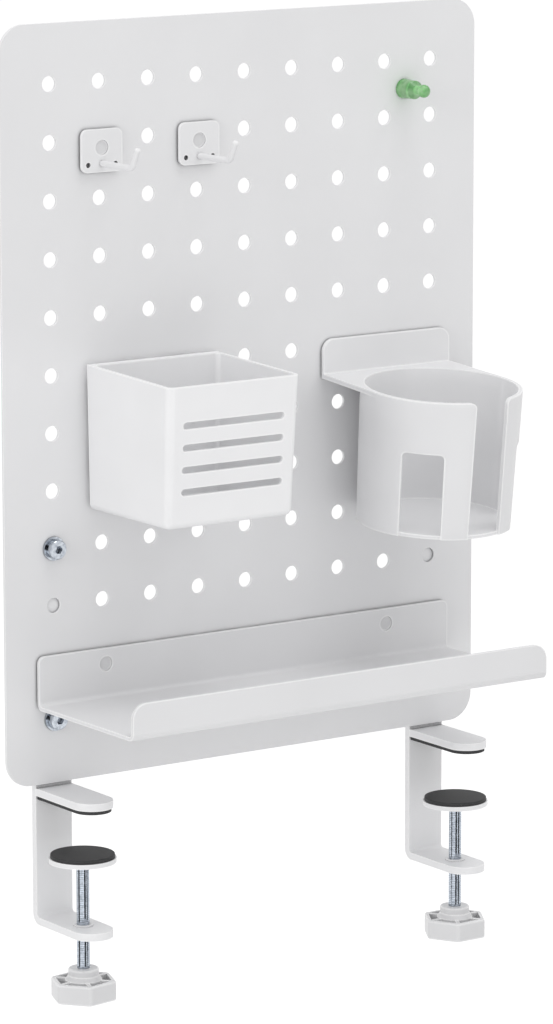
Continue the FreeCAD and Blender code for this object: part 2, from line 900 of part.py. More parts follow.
def bevel_spigots(body, name):
    """Bevel the free ends of the spigots so that they find their holes."""
    end = dims.panel_thick + dims.plug_past
    chamfer(body, f"{name}_spigot_bevel", body.Tip, dims.plug_edge, lambda spot, edge: is_near(spot.y, end))


# ---------------------------------------------------------------------------------------------
# Tool shelf
# ---------------------------------------------------------------------------------------------


def make_shelf():
    """One folded sheet: a back plate, a tray floor and a front lip with round corners."""
    body = new_body("tool_shelf")
    sheet_thick = dims.shelf_sheet
    bend = dims.shelf_bend
    back = BOARD_FRONT - dims.shelf_gap
    face = back - sheet_thick
    top = row_height(SHELF_ROW) + dims.shelf_back_rise
    under = row_height(LOWER_BOLT_ROW) + dims.shelf_over_bolts
    floor = under + sheet_thick
    front = back - dims.shelf_depth
    inside = front + sheet_thick
    lip = under + dims.shelf_lip_high
    profile = new_sketch(body, "shelf_profile", "YZ_Plane")
    rear = (face - bend, floor + bend)
    fore = (inside + bend, floor + bend)
    points = [
        (back, top),
        (face, top),
        (face, floor + bend),
        (face - bend, floor),
        (inside + bend, floor),
        (inside, floor + bend),
        (inside, lip),
        (front, lip),
        (front, floor + bend),
        (inside + bend, under),
        (face - bend, under),
        (back, floor + bend),
    ]
    arcs = {2: (rear, False), 4: (fore, False), 8: (fore, True), 10: (rear, True)}
    draw_outline(profile, points, arcs)
    pad(body, "shelf_fold", profile, dims.shelf_width, SideType="Symmetric")
    holes = new_sketch(body, "shelf_holes", "XZ_Plane")
    eye = row_height(SHELF_ROW) - dims.drop
    for side in (-1, 1):
        draw_circle(holes, column_place(side * SHELF_COLUMN), eye, dims.hole_dia)
    pierced = feature(body, "Pocket", "shelf_hole_cut", Profile=holes, Reversed=True, Length=dims.shelf_depth / 2)
    lip_round = fillet(
        body,
        "shelf_lip_corners",
        pierced,
        dims.shelf_lip_corner,
        lambda spot, edge: runs_along(edge, "y") and is_near(spot.z, lip),
    )
    fillet(
        body,
        "shelf_back_corners",
        lip_round,
        dims.shelf_back_corner,
        lambda spot, edge: runs_along(edge, "y") and is_near(spot.z, top),
    )


def make_shelf_plugs():
    """Two plugs whose bosses fill the holes in the back plate of the shelf."""
    body = new_body("shelf_plugs", several=True)
    boss_dia = dims.hole_dia - 2 * dims.seat_gap
    boss_length = dims.shelf_sheet - dims.boss_recess
    features = draw_plug(body, "shelf_plug", dims.shelf_gap, boss_dia, boss_length, dims.drop)
    repeat(body, "shelf_plug_pair", features, sideways(body), column_place(2 * SHELF_COLUMN), 2)
    bevel_spigots(body, "shelf_plug")
    place(body, column_place(-SHELF_COLUMN), BOARD_FRONT, row_height(SHELF_ROW))


# ---------------------------------------------------------------------------------------------
# Pen bin
# ---------------------------------------------------------------------------------------------


def draw_drafted(sketch, inset):
    """The front view of the bin, narrower at the foot, drawn inside its outer faces."""
    upper = dims.bin_width / 2 - inset
    lower = upper - dims.bin_side_draft
    draw_outline(sketch, [(-lower, inset), (lower, inset), (upper, dims.bin_height), (-upper, dims.bin_height)])


def bin_top():
    """Height of the rear rim of the bin in the frame of the board."""
    return row_height(BIN_ROW) + dims.bin_rise


def make_bin():
    """A moulded open bin: drafted sides, a leaning front with four slots, a thick back wall.

    Its own frame has Y = 0 at the back face and Z = 0 under the floor.
    """
    body = new_body("pen_bin")
    high = dims.bin_height
    deep = dims.bin_depth
    past = deep + dims.bin_wall
    front_view = new_sketch(body, "bin_front_view", "XZ_Plane")
    draw_drafted(front_view, size_of(0))
    block = pad(body, "bin_block", front_view, deep)
    lean = dims.bin_front_lean
    side_view = new_sketch(body, "bin_side_view", "YZ_Plane")
    draw_outline(side_view, [(lean - deep, 0), (-deep, high), (-past, high), (-past, 0)])
    leaning = cut_through(body, "bin_lean", side_view)
    feature(
        body,
        "Thickness",
        "bin_walls",
        Base=(leaning, faces_where(leaning, lambda spot, face: is_near(spot.z, high))),
        Value=dims.bin_wall,
        Reversed=True,
    )
    back_view = new_sketch(body, "bin_back_view", "XZ_Plane")
    draw_drafted(back_view, dims.bin_wall / 2)
    hollow = pad(body, "bin_back", back_view, dims.bin_back_wall)
    # outer and inner corners, then outer and inner edges of the floor
    outside = (dims.bin_width / 2 - dims.bin_side_draft - dims.bin_wall / 2).number
    middle = -deep.number / 2
    outer = fillet(
        body,
        "bin_corners",
        hollow,
        dims.bin_corner,
        lambda spot, edge: is_upright(edge) and abs(spot.x) > outside and spot.y < middle,
    )
    inner = fillet(
        body,
        "bin_inner_corners",
        outer,
        dims.bin_corner - dims.bin_wall,
        lambda spot, edge: is_upright(edge) and abs(spot.x) < outside,
    )
    base = fillet(
        body,
        "bin_base_edge",
        inner,
        dims.bin_base_round,
        lambda spot, edge: is_near(spot.z, 0) and not is_near(spot.y, 0),
    )
    fillet(
        body,
        "bin_floor_edge",
        base,
        dims.bin_base_round - dims.bin_wall,
        lambda spot, edge: is_near(spot.z, dims.bin_wall),
    )
    # the rim falls a little towards the front
    rim = new_sketch(body, "bin_rim_slope", "YZ_Plane")
    fall = dims.bin_rim_drop / deep
    above = high + dims.bin_wall
    draw_outline(rim, [(0, high), (0, above), (-past, above), (-past, high - fall * past)])
    cut_through(body, "bin_rim_cut", rim)
    # slots through the front wall only, from a plane inside the cavity
    half = dims.slot_length / 2 - dims.slot_high / 2
    low = dims.slot_first - dims.slot_high / 2
    top = dims.slot_first + dims.slot_high / 2
    slot_plan = new_sketch(body, "slot_plan", "XZ_Plane", dims.bin_depth / 2)
    points = [(-half, low), (half, low), (half, top), (-half, top)]
    arcs = {1: ((half, dims.slot_first), True), 3: ((-half, dims.slot_first), True)}
    draw_outline(slot_plan, points, arcs)
    slot = feature(body, "Pocket", "slot", Profile=slot_plan, Reversed=True, Length=dims.bin_depth)
    repeat(body, "slots", [slot], upwards(body), dims.slot_pitch, dims.slot_count)
    # blind sockets for the plugs
    sockets = new_sketch(body, "bin_sockets", "XZ_Plane")
    base = bin_top() - dims.bin_height
    for row in (BIN_ROW - 1, BIN_ROW - 2):
        for side in (-1, 1):
            draw_circle(sockets, column_place(side), row_height(row) - base, dims.plug_dia + 2 * dims.seat_gap)
    feature(body, "Pocket", "bin_socket_cut", Profile=sockets, Reversed=True, Length=dims.bin_socket_deep)
    place(body, column_place(BIN_COLUMN), BOARD_FRONT - dims.bin_gap, base)


def make_bin_plugs():
    """Four plugs, pressed into the back wall of the bin, that reach through the board."""
    body = new_body("bin_plugs", several=True)
    features = draw_plug(body, "bin_plug", dims.bin_gap, dims.plug_dia, dims.bin_socket_deep)
    across = (sideways(body), column_place(2), 2)
    up = (upwards(body), dims.hole_pitch, 2)
    grid(body, "bin_plug_set", features, across, up)
    bevel_spigots(body, "bin_plug")
    place(body, column_place(BIN_COLUMN - 1), BOARD_FRONT, row_height(BIN_ROW - 2))


# ---------------------------------------------------------------------------------------------
# Cup holder
# ---------------------------------------------------------------------------------------------


def touch_point(radius, corner, way):
    """Where a line from a corner touches a circle round the origin, on its left (1) or right (-1)."""
    x, y = corner
    far = x * x + y * y
    along = root(far - radius * radius)
    return (radius * (radius * x - way * along * y) / far, radius * (radius * y + way * along * x) / far)


def cup_window(body, name, angle):
    """Cut a window in the cup wall, open at the foot, that faces out at an angle."""
    half = dims.cup_window_width / 2
    corner = dims.cup_window_corner
    top = -dims.cup_window_top
    low = -dims.cup_height - dims.cup_floor
    plan = turned_sketch(body, name, angle)
    points = [
        (-half, low),
        (half, low),
        (half, top - corner),
        (half - corner, top),
        (corner - half, top),
        (-half, top - corner),
    ]
    arcs = {
        2: ((half - corner, top - corner), True),
        4: ((corner - half, top - corner), True),
    }
    draw_outline(plan, points, arcs)
    feature(body, "Pocket", f"{name}_cut", Profile=plan, Reversed=True, Length=dims.cup_radius)


def make_cup_holder():
    """A back plate, a level flange and a tapering cup with a handle slot and two windows.

    Its own frame has Z = 0 on top of the flange and the cup axis along Z. The whole is tipped
    forwards by cup_tilt, and the back plate leans back by as much, so that it stands upright.
    The cup stands cup_shift to the right of the middle of its plate.
    """
    body = new_body("cup_holder")
    tilt = dims.cup_tilt
    up = (sine(tilt), cosine(tilt))
    rear = (cosine(tilt), -sine(tilt))
    reach = dims.cup_reach
    thick = dims.cup_plate_thick
    high = dims.cup_plate_high
    flange = dims.cup_flange_thick
    radius = dims.cup_radius
    shift = dims.cup_shift
    # back plate, as a strip that leans back in this frame
    side_view = new_sketch(body, "cup_plate_side", "YZ_Plane", -shift)
    points = [
        (reach - flange * up[0], -flange * up[1]),
        (reach - flange * up[0] + thick * rear[0], thick * rear[1] - flange * up[1]),
        (reach + high * up[0] + thick * rear[0], high * up[1] + thick * rear[1]),
        (reach + high * up[0], high * up[1]),
    ]
    draw_outline(side_view, points)
    plate = pad(body, "cup_plate", side_view, dims.cup_plate_width, SideType="Symmetric")
    top = (points[2][1] + points[3][1]) / 2
    fillet(
        body,
        "cup_plate_corners",
        plate,
        dims.cup_plate_corner,
        lambda spot, edge: is_near(spot.z, top) and not runs_along(edge, "x"),
    )
    # flange with a round front, and the solid cup below it
    plan = new_sketch(body, "cup_flange_plan", "XY_Plane")
    back = reach + thick / 2
    right = (dims.cup_plate_width / 2 - shift, back)
    left = (-dims.cup_plate_width / 2 - shift, back)
    points = [touch_point(radius, left, 1), touch_point(radius, right, -1), right, left]
    draw_outline(plan, points, {0: ((0, 0), True)})
    pad(body, "cup_flange", plan, flange, Reversed=True)
    outside = new_sketch(body, "cup_outside", "XZ_Plane")
    foot = -dims.cup_height
    draw_outline(outside, [(0, foot), (dims.cup_base_radius, foot), (radius, -flange), (radius, 0), (0, 0)])
    revolve(body, "cup_block", outside)
    inside = new_sketch(body, "cup_inside", "XZ_Plane")
    mouth = radius - dims.cup_wall
    throat = dims.cup_base_radius - dims.cup_wall
    draw_outline(inside, [(0, foot), (throat, foot), (mouth, 0), (0, 0)])
    revolve(body, "cup_bore", inside, "Groove")
    # handle slot, open from top to bottom, with round upper corners
    half = dims.cup_slot_width / 2
    corner = dims.cup_slot_corner
    low = foot - dims.cup_floor
    over = dims.cup_floor
    slot_plan = turned_sketch(body, "cup_slot", dims.cup_slot_turn)
    points = [
        (-half, low),
        (half, low),
        (half, -corner),
        (half + corner, 0),
        (half + corner, over),
        (-half - corner, over),
        (-half - corner, 0),
        (-half, -corner),
    ]
    arcs = {
        2: ((half + corner, -corner), False),
        6: ((-half - corner, -corner), False),
    }
    draw_outline(slot_plan, points, arcs)
    feature(body, "Pocket", "cup_slot_cut", Profile=slot_plan, Reversed=True, Length=radius)
    cup_window(body, "left_cup_window", dims.cup_slot_turn - dims.cup_window_angle)
    cup_window(body, "right_cup_window", dims.cup_slot_turn + dims.cup_window_angle)
    # the floor stops short of the outside, as seen in the windows
    floor_plan = new_sketch(body, "cup_floor_plan", "XY_Plane", foot)
    draw_circle(floor_plan, 0, 0, 2 * (dims.cup_base_radius - dims.cup_floor_recess))
    pad(body, "cup_floor", floor_plan, dims.cup_floor)
    # where the front of the back plate meets the flange
    face = BOARD_FRONT - dims.cup_gap - thick
    ledge = row_height(CUP_ROW) + dims.cup_plate_rise - high
    centre_y = face - reach * cosine(tilt)
    centre_z = ledge - reach * sine(tilt)
    place(body, column_place(CUP_COLUMN) + shift, centre_y, centre_z, (1, 0, 0), tilt)


def make_cup_plugs():
    """Two plugs behind the back plate of the cup holder."""
    body = new_body("cup_plugs", several=True)
    features = draw_plug(body, "cup_plug", dims.cup_gap, boss_drop=dims.drop)
    repeat(body, "cup_plug_pair", features, sideways(body), column_place(2), 2)
    bevel_spigots(body, "cup_plug")
    place(body, column_place(CUP_COLUMN - 1), BOARD_FRONT, row_height(CUP_ROW))


# ---------------------------------------------------------------------------------------------
# Wire hooks
# ---------------------------------------------------------------------------------------------


def make_hook(side, column):
    """A small plate with an eye for its plug, two nail holes and a bent wire arm."""
    x = column_place(column)
    z = row_height(HOOK_ROW)
    back = BOARD_FRONT - dims.hook_gap
    plate = new_body(f"{side}_hook_plate")
    half = dims.hook_plate_width / 2
    top = dims.hook_plate_rise
    outline = new_sketch(plate, f"{side}_hook_outline", "XZ_Plane")
    draw_rounded(outline, -half, half, top - dims.hook_plate_high, top, dims.hook_plate_corner)
    draw_circle(outline, 0, -dims.drop, dims.hook_eye_dia)
    for way in (-1, 1):
        draw_circle(outline, way * dims.hook_pin_spread, -dims.hook_pin_drop, dims.hook_pin_dia)
    pad(plate, f"{side}_hook_sheet", outline, dims.hook_plate_thick)
    place(plate, x, back, z)
    wire = new_body(f"{side}_hook_wire")
    lean = dims.hook_wire_lean
    bend = dims.hook_wire_bend
    run = dims.hook_wire_run
    tip = dims.hook_wire_tip
    bend_end = (-run - bend * cosine(lean), bend - bend * sine(lean))
    free_end = (bend_end[0] - tip * sine(lean), bend_end[1] + tip * cosine(lean))
    route = new_sketch(wire, f"{side}_wire_route", "YZ_Plane")
    draw_path(route, [(0, 0), (-run, 0), bend_end, free_end], {1: ((-run, bend), False)})
    section = new_sketch(wire, f"{side}_wire_section", "XZ_Plane")
    draw_circle(section, 0, 0, dims.hook_wire_dia)
    arm = feature(wire, "AdditivePipe", f"{side}_wire_arm", Profile=section, Spine=route)
    fillet(
        wire,
        f"{side}_wire_tip",
        arm,
        dims.hook_wire_round,
        lambda spot, edge: edge.Curve.TypeId == "Part::GeomCircle" and spot.z > bend_end[1].number + bend.number,
    )
    place(wire, x, back - dims.hook_plate_thick, z - dims.hook_wire_drop)
    plug = new_body(f"{side}_hook_plug")
    boss_dia = dims.hook_eye_dia - 2 * dims.seat_gap
    boss_length = dims.hook_plate_thick - dims.boss_recess
    draw_plug(plug, f"{side}_hook_plug", dims.hook_gap, boss_dia, boss_length, dims.drop)
    bevel_spigots(plug, f"{side}_hook_plug")
    place(plug, x, BOARD_FRONT, z)


# ---------------------------------------------------------------------------------------------
# Magnetic pin
# ---------------------------------------------------------------------------------------------


def make_pin():
    """A turned grip like a pawn, with a disc magnet let into its base."""
    grip = new_body("pin_grip")
    pocket = dims.magnet_dia / 2 + dims.seat_gap
    base = dims.pin_base_dia / 2
    neck = dims.pin_neck_dia / 2
    ball = dims.pin_head_dia / 2
    ball_place = ball - dims.pin_length
    # where the neck runs into the ball
    rise = root(ball * ball - neck * neck)
    profile = new_sketch(grip, "pin_profile", "XY_Plane")
    points = [
        (0, -dims.pin_length),
        (neck, ball_place + rise),
        (neck, -dims.pin_neck_start),
        (dims.pin_shoulder_dia / 2, -dims.pin_shoulder),
        (base, 0),
        (pocket, 0),
        (pocket, -dims.magnet_thick),
        (0, -dims.magnet_thick),
    ]
    draw_outline(profile, points, {0: ((0, ball_place), True)})
    revolve(grip, "pin_turned", profile)
    z = row_height(TOP_ROW) - dims.pin_down
    place(grip, dims.pin_across, BOARD_FRONT, z)
    magnet = doc.addObject("Part::Cylinder", "pin_magnet")
    magnet.Label = "pin_magnet"
    bind(magnet, "Radius", dims.magnet_dia / 2)
    bind(magnet, "Height", dims.magnet_thick)
    place(magnet, dims.pin_across, BOARD_FRONT, z, (1, 0, 0), 90)
    sub_parts.append(magnet)


# ---------------------------------------------------------------------------------------------
# Assembly
# ---------------------------------------------------------------------------------------------

make_panel()
CLAMPS = (
    ("left", -CLAMP_COLUMN, dims.left_opening, dims.left_knob_angle),
    ("right", CLAMP_COLUMN, dims.right_opening, dims.right_knob_angle),
)
for side, x, opening, angle in CLAMPS:
    make_bracket(side, x)
    make_jaw(side, x)
    make_bush(side, x)
    make_foot(side, x, opening)
    make_screw(side, x, opening)
    make_knob(side, x, opening, angle)
make_bolts()
make_washers()
make_nuts()
make_shelf()
make_shelf_plugs()
make_bin()
make_bin_plugs()
make_cup_holder()
make_cup_plugs()
for side, column in HOOK_COLUMNS.items():
    make_hook(side, column)
make_pin()

doc.recompute()
for item in doc.Objects:
    bad = [state for state in item.State if state in ("Invalid", "Error")]
    if bad:
        raise RuntimeError(f"{item.Label} is {bad}: {item.getStatusString()}")
for part in sub_parts:
    if part.Shape.isNull() or not part.Shape.isValid():
        raise RuntimeError(f"{part.Label} has no valid shape")

os.makedirs("parts", exist_ok=True)
for part in sub_parts:
    part.Shape.exportStep(f"parts/{part.Label}.step")
    box = part.Shape.BoundBox
    print(
        f"{part.Label}: {len(part.Shape.Solids)} solid(s), {part.Shape.Volume:.0f} mm3, "
        f"X {box.XMin:.1f}..{box.XMax:.1f} Y {box.YMin:.1f}..{box.YMax:.1f} Z {box.ZMin:.1f}..{box.ZMax:.1f}"
    )
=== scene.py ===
# %% Load the frame
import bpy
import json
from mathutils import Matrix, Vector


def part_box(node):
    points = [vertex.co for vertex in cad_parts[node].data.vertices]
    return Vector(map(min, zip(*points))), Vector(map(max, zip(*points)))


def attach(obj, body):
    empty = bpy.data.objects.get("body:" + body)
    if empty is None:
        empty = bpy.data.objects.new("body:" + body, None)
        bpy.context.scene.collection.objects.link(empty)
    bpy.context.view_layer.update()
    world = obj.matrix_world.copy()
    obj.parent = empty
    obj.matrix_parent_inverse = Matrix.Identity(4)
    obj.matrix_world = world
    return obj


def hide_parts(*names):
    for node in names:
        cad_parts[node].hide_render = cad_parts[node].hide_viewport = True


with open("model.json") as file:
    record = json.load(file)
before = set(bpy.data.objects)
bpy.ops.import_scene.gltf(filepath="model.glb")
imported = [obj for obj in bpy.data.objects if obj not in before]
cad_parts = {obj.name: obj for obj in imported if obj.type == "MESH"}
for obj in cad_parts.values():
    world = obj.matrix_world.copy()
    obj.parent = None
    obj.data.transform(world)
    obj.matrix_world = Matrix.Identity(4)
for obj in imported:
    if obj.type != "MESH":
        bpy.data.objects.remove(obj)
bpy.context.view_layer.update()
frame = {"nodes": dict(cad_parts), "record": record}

nodes = frame["nodes"]
print("CAD nodes:", len(nodes))

# %% [markdown]
# This is a desk organizer: a perforated steel board that two screw clamps hold to a desk edge.
# The solids come from CAD and stay where they are. Blender's part is the look: paint, moulded
# plastic, zinc and rubber, and the fine forms that a solid modeller leaves plain, such as threads.

# %% Tools
import json
import math

import bpy
from mathutils import Vector

MM = 0.001
print("One millimetre is", MM, "in the scene")

# %% [markdown]
# Every finish below is a node material. Object coordinates are the natural choice here: all
# pieces share one frame, in metres, so a pattern has its true size and runs on from piece to piece.
# A small helper starts a material and hands back what the next cells need to build on it. The
# import brings plain colours with the same names, so each gives up its name to the real finish.

# %% Start a finish
NOISE_SPREAD = (0.3, 0.7)
SHADE_STOPS = (0.35, 0.65)


def start_finish(name, metallic=0.0):
    """A new node material and its shader, with the constants set on the shader itself."""
    plain = bpy.data.materials.get(name)
    if plain:
        bpy.data.materials.remove(plain)
    finish = bpy.data.materials.new(name)
    finish.use_nodes = True
    shader = finish.node_tree.nodes["Principled BSDF"]
    shader.inputs["Metallic"].default_value = metallic
    return finish, finish.node_tree, shader


def grain(tree, size, detail=2.0, roughness=0.5):
    """Noise whose grains are about size metres across."""
    place = tree.nodes.new("ShaderNodeTexCoord")
    noise = tree.nodes.new("ShaderNodeTexNoise")
    noise.inputs["Scale"].default_value = 1 / size
    noise.inputs["Detail"].default_value = detail
    noise.inputs["Roughness"].default_value = roughness
    tree.links.new(place.outputs["Object"], noise.inputs["Vector"])
    return noise.outputs["Fac"]


def shade_between(tree, factor, dark, light):
    """A colour that goes from dark to light as factor rises."""
    ramp = tree.nodes.new("ShaderNodeValToRGB")
    for stop, position, colour in zip(ramp.color_ramp.elements, SHADE_STOPS, (dark, light)):
        stop.position = position
        stop.color = (*colour, 1)
    tree.links.new(factor, ramp.inputs["Fac"])
    return ramp.outputs["Color"]


def map_range(tree, value, before, after=(0, 1)):
    """The value, carried over from the range before to the range after."""
    mapped = tree.nodes.new("ShaderNodeMapRange")
    mapped.inputs["From Min"].default_value = before[0]
    mapped.inputs["From Max"].default_value = before[1]
    mapped.inputs["To Min"].default_value = after[0]
    mapped.inputs["To Max"].default_value = after[1]
    tree.links.new(value, mapped.inputs["Value"])
    return mapped.outputs["Result"]


def vary_gloss(tree, shader, factor, low, high):
    """Let the roughness go from low to high as factor rises."""
    roughness = map_range(tree, factor, NOISE_SPREAD, (low, high))
    tree.links.new(roughness, shader.inputs["Roughness"])


def raise_grain(tree, shader, factor, depth, strength, under=None):
    """Bump the surface by factor, depth metres high at most, on top of another bump if given."""
    bump = tree.nodes.new("ShaderNodeBump")
    bump.inputs["Strength"].default_value = strength
    bump.inputs["Distance"].default_value = depth
    tree.links.new(factor, bump.inputs["Height"])
    if under is not None:
        tree.links.new(under, bump.inputs["Normal"])
    tree.links.new(bump.outputs["Normal"], shader.inputs["Normal"])
    return bump.outputs["Normal"]


print("Finish helpers ready")

# %% [markdown]
# Painted highlights and painted shade follow the shape. A Bevel node gives the normal that a
# rounded edge would have, and where it differs from the real normal there is an edge. Ambient
# Occlusion measures how much of the sky a point can't see nearby, which is much in a tight corner.
# Each becomes a share from 0 to 1, and a Mix node uses it to turn one colour towards another: edges
# towards a painted highlight, corners and hollows towards painted shade.

# %% Edges and corners
NODE_SAMPLES = 4
EDGE_LIKENESS = (0.995, 0.95)
CORNER_OPENNESS = (0.75, 0.15)


def edge_share(tree, radius):
    """A factor that is 1 on edges sharper than radius and 0 on flat faces."""
    rounded = tree.nodes.new("ShaderNodeBevel")
    rounded.samples = NODE_SAMPLES
    rounded.inputs["Radius"].default_value = radius
    real = tree.nodes.new("ShaderNodeNewGeometry")
    likeness = tree.nodes.new("ShaderNodeVectorMath")
    likeness.operation = "DOT_PRODUCT"
    tree.links.new(rounded.outputs["Normal"], likeness.inputs[0])
    tree.links.new(real.outputs["Normal"], likeness.inputs[1])
    return map_range(tree, likeness.outputs["Value"], EDGE_LIKENESS)


def corner_share(tree, reach):
    """A factor that is 1 in tight corners and 0 on open faces, felt over reach metres."""
    openness = tree.nodes.new("ShaderNodeAmbientOcclusion")
    openness.samples = NODE_SAMPLES
    openness.inputs["Distance"].default_value = reach
    return map_range(tree, openness.outputs["AO"], CORNER_OPENNESS)


def tint(tree, share, base, colour):
    """The base colour, turned towards another colour by share."""
    mix = tree.nodes.new("ShaderNodeMix")
    mix.data_type = "RGBA"
    tree.links.new(share, mix.inputs["Factor"])
    tree.links.new(base, mix.inputs["A"])
    mix.inputs["B"].default_value = (*colour, 1)
    return mix.outputs["Result"]


print("Edges are found with", NODE_SAMPLES, "samples")

# %% [markdown]
# Powder coat is plastic powder baked onto steel. It flows out almost smooth but keeps a faint
# orange peel, a soft ripple about two millimetres across, and a much finer grain that takes the
# edge off its gloss. Two layers of noise give both, and a third shifts the white very slightly.
# Edges are painted paler as a highlight, and corners are painted greyer as shade.

# %% Powder coat
# The pale edge colour is a painted highlight and the grey corner colour is painted shade.
PAINTED_EDGE_HIGHLIGHT = (0.97, 0.97, 0.97)
PAINTED_CORNER_SHADE = (0.16, 0.16, 0.17)
CORNER_REACH = 3 * MM
COAT_CLOUD = 60 * MM
COAT_PEEL = 2.2 * MM
COAT_GRAIN = 0.45 * MM


def powder_coat(name, dark, light, roughness, edge=1.0 * MM):
    """White powder coat between two close shades, with a painted highlight on its edges and painted
    shade in corners.
    """
    finish, tree, shader = start_finish(name)
    peel = grain(tree, COAT_PEEL)
    fine = grain(tree, COAT_GRAIN)
    white = shade_between(tree, grain(tree, COAT_CLOUD), dark, light)
    # Pale edges are a painted highlight and grey corners are painted shade.
    coat = tint(tree, edge_share(tree, edge), white, PAINTED_EDGE_HIGHLIGHT)
    coat = tint(tree, corner_share(tree, CORNER_REACH), coat, PAINTED_CORNER_SHADE)
    tree.links.new(coat, shader.inputs["Base Color"])
    vary_gloss(tree, shader, fine, low=roughness - 0.06, high=roughness + 0.06)
    rippled = raise_grain(tree, shader, peel, depth=0.02 * MM, strength=0.5)
    raise_grain(tree, shader, fine, depth=0.008 * MM, strength=0.5, under=rippled)
    return finish


board_paint = powder_coat(
    "board_paint", (0.77, 0.77, 0.78), (0.79, 0.79, 0.80), roughness=0.55, edge=0.5 * MM
)
clamp_paint = powder_coat(
    "clamp_paint", (0.83, 0.83, 0.84), (0.85, 0.85, 0.86), roughness=0.45
)
shelf_paint = powder_coat(
    "shelf_paint", (0.75, 0.75, 0.76), (0.77, 0.77, 0.78), roughness=0.5
)
hook_paint = powder_coat(
    "hook_paint", (0.78, 0.78, 0.79), (0.80, 0.80, 0.81), roughness=0.45
)
print("Powder coats:", board_paint.name, clamp_paint.name, shelf_paint.name, hook_paint.name)

# %% [markdown]
# The bin, the cup holder, the plugs and the knobs are moulded plastic. Their moulds are lightly
# spark-eroded, which leaves an even grain of about a third of a millimetre and a satin surface.

# %% Moulded plastic
RESIN_CLOUD = 40 * MM
RESIN_EDGE = 1.3 * MM


def moulded_plastic(name, dark, light, roughness, grain_size=0.35 * MM):
    """White moulded plastic with an even mould grain and a painted highlight on its edges."""
    finish, tree, shader = start_finish(name)
    skin = grain(tree, grain_size, detail=3.0)
    white = shade_between(tree, grain(tree, RESIN_CLOUD), dark, light)
    # The pale edges are a painted highlight.
    resin = tint(tree, edge_share(tree, RESIN_EDGE), white, PAINTED_EDGE_HIGHLIGHT)
    tree.links.new(resin, shader.inputs["Base Color"])
    vary_gloss(tree, shader, skin, low=roughness - 0.05, high=roughness + 0.05)
    raise_grain(tree, shader, skin, depth=0.012 * MM, strength=0.5)
    return finish


bin_plastic = moulded_plastic(
    "bin_plastic", (0.85, 0.85, 0.86), (0.87, 0.87, 0.88), roughness=0.5
)
cup_plastic = moulded_plastic(
    "cup_plastic", (0.77, 0.77, 0.78), (0.79, 0.79, 0.80), roughness=0.48
)
plug_plastic = moulded_plastic(
    "plug_plastic", (0.68, 0.68, 0.69), (0.72, 0.72, 0.73), roughness=0.5
)
knob_plastic = moulded_plastic(
    "knob_plastic", (0.69, 0.69, 0.70), (0.72, 0.72, 0.73), roughness=0.35, grain_size=0.6 * MM
)
print("Plastics:", bin_plastic.name, cup_plastic.name, plug_plastic.name, knob_plastic.name)

# %% [markdown]
# The pads of the jaws and feet are black rubber with a fine, dusty grain. Zinc plating on the
# screws, bolts, washers and nuts is a bluish metal whose gloss changes in small patches, and its
# hollows get painted shade. The thread's grooves are left bright, so on the screws the painted
# shade reaches only tiny hollows.

# %% Rubber and zinc
RUBBER_BLACK = (0.012, 0.012, 0.013)
RUBBER_DUST = (0.05, 0.05, 0.052)
RUBBER_GRAIN = 0.5 * MM
# The colour of the painted shade in the zinc's hollows.
PAINTED_HOLLOW_SHADE = (0.02, 0.022, 0.025)
ZINC_PATCH = 1.6 * MM
ZINC_RIPPLE = 1.2 * MM


def black_rubber(name):
    """Matt black rubber with a little dust in its grain."""
    finish, tree, shader = start_finish(name)
    skin = grain(tree, RUBBER_GRAIN, detail=4.0, roughness=0.6)
    dusty = shade_between(tree, skin, RUBBER_BLACK, RUBBER_DUST)
    tree.links.new(dusty, shader.inputs["Base Color"])
    vary_gloss(tree, shader, skin, low=0.55, high=0.8)
    raise_grain(tree, shader, skin, depth=0.03 * MM, strength=0.6)
    return finish


def zinc_plate(name, dark, light, roughness, hollow=1.6 * MM):
    """Bluish zinc plating with patchy gloss, and painted shade in hollows about that wide."""
    finish, tree, shader = start_finish(name, metallic=1.0)
    patches = grain(tree, ZINC_PATCH, detail=3.0)
    ripples = grain(tree, ZINC_RIPPLE)
    unshaded_zinc = shade_between(tree, patches, dark, light)
    # The dark hollows are painted shade.
    zinc_with_shade = tint(tree, corner_share(tree, hollow), unshaded_zinc, PAINTED_HOLLOW_SHADE)
    tree.links.new(zinc_with_shade, shader.inputs["Base Color"])
    vary_gloss(tree, shader, patches, low=roughness - 0.04, high=roughness + 0.04)
    raise_grain(tree, shader, ripples, depth=0.002 * MM, strength=0.3)
    return finish


pad_rubber = black_rubber("pad_rubber")
zinc = zinc_plate("zinc", (0.38, 0.41, 0.46), (0.60, 0.64, 0.69), roughness=0.12)
screw_zinc = zinc_plate(
    "screw_zinc", (0.38, 0.42, 0.48), (0.60, 0.65, 0.72), roughness=0.12, hollow=0.3 * MM
)
magnet = zinc_plate("magnet", (0.5, 0.5, 0.5), (0.62, 0.62, 0.63), roughness=0.22)
print("Rubber and metals:", pad_rubber.name, zinc.name, screw_zinc.name, magnet.name)

# %% [markdown]
# The magnetic pin is translucent green plastic. Transmission lets light pass into it, a low
# roughness gives it a wet gloss, and slow swirls in the colour look like uneven thickness.

# %% Green translucent plastic
DEEP_GREEN = (0.24, 0.64, 0.23)
CLEAR_GREEN = (0.50, 0.90, 0.46)
SWIRL_SIZE = 5 * MM


def green_plastic(name):
    """Translucent green plastic with slow swirls."""
    finish, tree, shader = start_finish(name)
    swirl = grain(tree, SWIRL_SIZE)
    green = shade_between(tree, swirl, DEEP_GREEN, CLEAR_GREEN)
    tree.links.new(green, shader.inputs["Base Color"])
    vary_gloss(tree, shader, swirl, low=0.04, high=0.09)
    shader.inputs["Transmission Weight"].default_value = 0.5
    shader.inputs["IOR"].default_value = 1.49
    return finish


